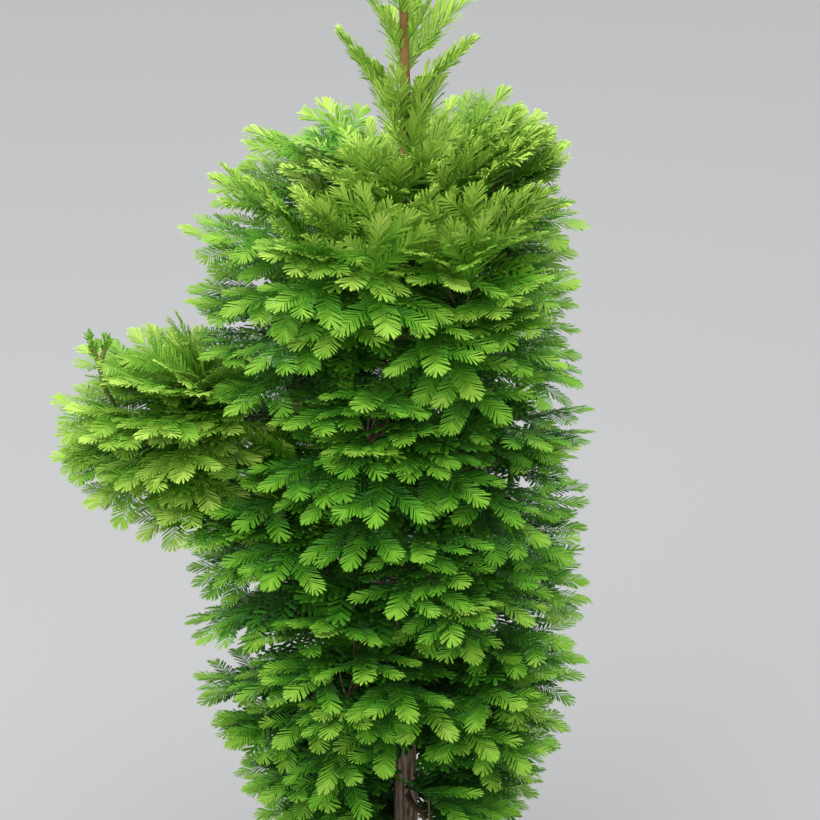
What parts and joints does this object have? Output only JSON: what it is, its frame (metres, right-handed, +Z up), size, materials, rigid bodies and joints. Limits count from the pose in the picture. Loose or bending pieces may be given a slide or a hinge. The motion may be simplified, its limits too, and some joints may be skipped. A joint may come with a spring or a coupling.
{
  "type": "young bald cypress tree",
  "caption": "Young columnar bald cypress rooted in the ground: a tapering trunk, short boughs in a spiral, one longer forked arm, and dense flat sprays of soft needles.",
  "frame": {"origin": "centre of the flat cut under the trunk, on level ground", "axes": "+Z up along the trunk, -X towards the long arm, -Y towards the side that the picture shows"},
  "size_m": [0.3393, 0.2633, 0.7306],
  "materials": {
    "bark": "rough, fibrous, with fine upright fissures",
    "young_bark": "matte, smooth, orange-brown",
    "needles": "soft satin, deep green at the base of a spray and yellow-green at its tip"
  },
  "bodies": {
    "root": {"arm": "young_bark", "arm_foliage_back": "needles", "arm_foliage_end": "needles", "arm_foliage_front": "needles", "arm_foliage_upper": "needles", "arm_fork_back": "young_bark", "arm_fork_end": "young_bark", "arm_fork_front": "young_bark", "arm_fork_upper": "young_bark", "bough_01": "young_bark", "bough_02": "young_bark", "bough_03": "young_bark", "bough_04": "young_bark", "bough_05": "young_bark", "bough_06": "young_bark", "bough_07": "young_bark", "bough_08": "young_bark", "bough_09": "young_bark", "bough_10": "young_bark", "bough_11": "young_bark", "bough_12": "young_bark", "bough_13": "young_bark", "bough_14": "young_bark", "bough_15": "young_bark", "bough_16": "young_bark", "bough_17": "young_bark", "bough_18": "young_bark", "bough_19": "young_bark", "bough_20": "young_bark", "bough_21": "young_bark", "bough_22": "young_bark", "foliage_01": "needles", "foliage_02": "needles", "foliage_03": "needles", "foliage_04": "needles", "foliage_05": "needles", "foliage_06": "needles", "foliage_07": "needles", "foliage_08": "needles", "foliage_09": "needles", "foliage_10": "needles", "foliage_11": "needles", "foliage_12": "needles", "foliage_13": "needles", "foliage_14": "needles", "foliage_15": "needles", "foliage_16": "needles", "foliage_17": "needles", "foliage_18": "needles", "foliage_19": "needles", "foliage_20": "needles", "foliage_21": "needles", "foliage_22": "needles", "leader_shoot_1": "needles", "leader_shoot_2": "needles", "leader_shoot_3": "needles", "leader_shoot_4": "needles", "leader_shoot_5": "needles", "leader_shoot_6": "needles", "trunk": "bark"}
  },
  "joints": []
}
